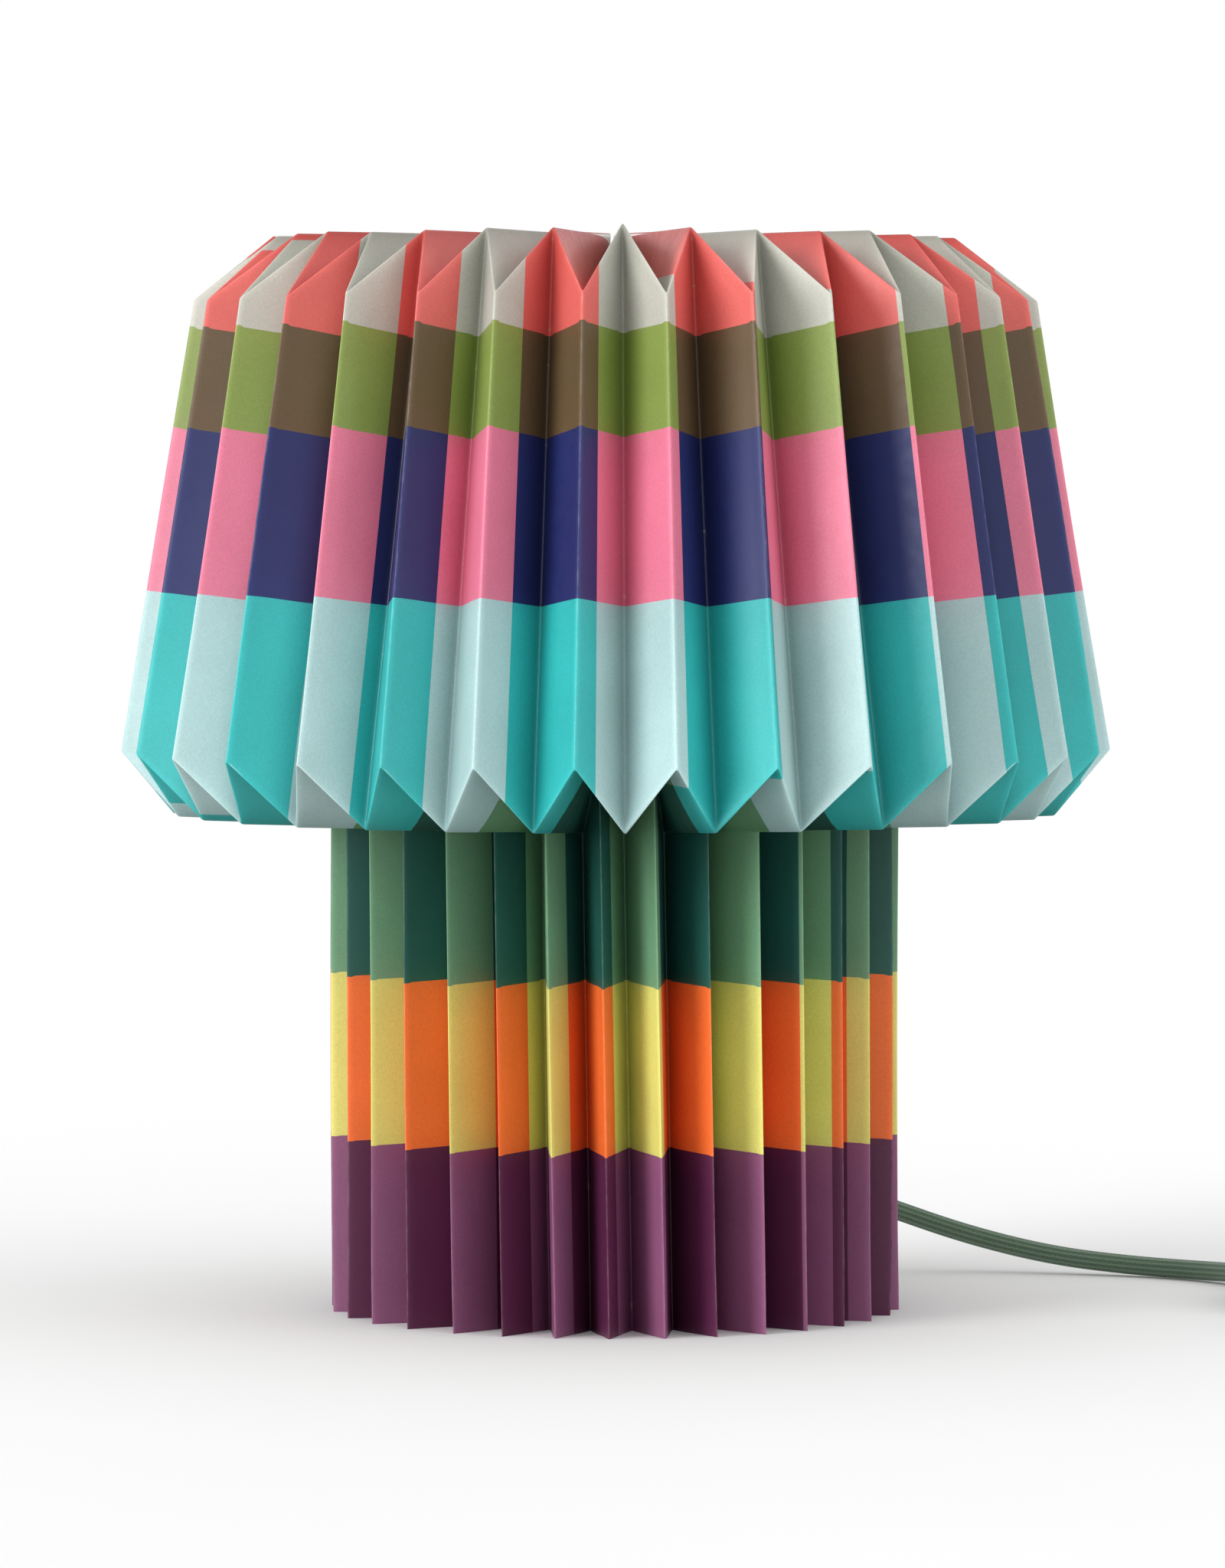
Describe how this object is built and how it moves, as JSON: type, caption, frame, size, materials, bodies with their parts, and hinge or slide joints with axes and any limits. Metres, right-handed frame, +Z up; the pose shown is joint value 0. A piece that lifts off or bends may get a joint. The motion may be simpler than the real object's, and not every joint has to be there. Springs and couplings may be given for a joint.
{
  "type": "pleated paper table lamp",
  "caption": "Table lamp whose conical shade and round foot are one accordion-pleated printed paper sleeve, over a steel stand with bulb, lead, switch and plug.",
  "frame": {"origin": "centre of the foot on the table", "axes": "+Z up, the lamp faces -Y, and its lead leaves at the back behind the +X side"},
  "size_m": [0.4932, 0.3228, 0.3518],
  "materials": {
    "printed_paper": "satin laminated print, bands of colour",
    "seam_paper": "plain matt paper strip",
    "pan_enamel": "satin off-white powder coat",
    "felt": "pressed felt",
    "zinc_sheet": "zinc plated sheet",
    "cast_iron": "black painted casting",
    "zinc_hardware": "bright zinc",
    "brass_hardware": "plain brass",
    "black_nylon": "moulded nylon",
    "green_rubber": "soft moulded rubber",
    "lead_sheath": "textile and rubber sheath",
    "white_thermoset": "moulded thermoset",
    "ceramic": "unglazed steatite",
    "tin": "tinned contact",
    "black_glass": "black vitrite",
    "nickel_cap": "nickel plated thread",
    "white_plastic": "moulded plastic",
    "opal_diffuser": "frosted opal",
    "green_textile": "braided textile over rubber",
    "green_plastic": "moulded plastic",
    "rocker_plastic": "moulded plastic",
    "nickel_pins": "nickel plated"
  },
  "bodies": {
    "stand": {"base_pan": "pan_enamel", "foot_pad": "felt", "bottom_cover": "zinc_sheet", "ballast_disc": "cast_iron", "pillars": "zinc_hardware", "cover_screws": "zinc_hardware", "stem_tube": "zinc_hardware", "stem_nuts": "brass_hardware", "stem_washers": "zinc_hardware", "cord_gland": "black_nylon", "gland_nut": "black_nylon", "strain_relief": "green_rubber", "inner_lead": "lead_sheath", "holder_cap": "white_thermoset", "holder_core": "ceramic", "terminal_screws": "brass_hardware", "centre_contact": "brass_hardware", "threaded_sleeve": "brass_hardware", "holder_shell": "white_thermoset", "cord": "green_textile", "cord_to_coil": "green_textile", "cord_coil": "green_textile", "cord_to_plug": "green_textile", "switch_base": "green_plastic", "switch_cover": "green_plastic", "switch_screws": "zinc_hardware", "plug_body": "green_plastic", "plug_pins": "nickel_pins"},
    "sleeve": {"paper_front": "printed_paper", "paper_rear": "printed_paper", "seam_strip_right": "seam_paper", "seam_strip_left": "seam_paper"},
    "bulb": {"bulb_contact": "tin", "bulb_insulator": "black_glass", "bulb_screw_cap": "nickel_cap", "bulb_housing": "white_plastic", "bulb_globe": "opal_diffuser"},
    "rocker": {"switch_rocker": "rocker_plastic"}
  },
  "joints": [
    {"name": "sleeve_lift", "type": "slide", "parent": "stand", "child": "sleeve", "axis": [0, 0, 1], "range_m": [0, 0.32]},
    {"name": "bulb_out", "type": "slide", "parent": "stand", "child": "bulb", "axis": [0, 0, 1], "range_m": [0, 0.022]},
    {"name": "rocker_tilt", "type": "hinge", "parent": "stand", "child": "rocker", "pos_m": [0.218, 0.004, 0.0112], "axis": [1, 0, 0], "range_deg": [-14, 0]}
  ]
}
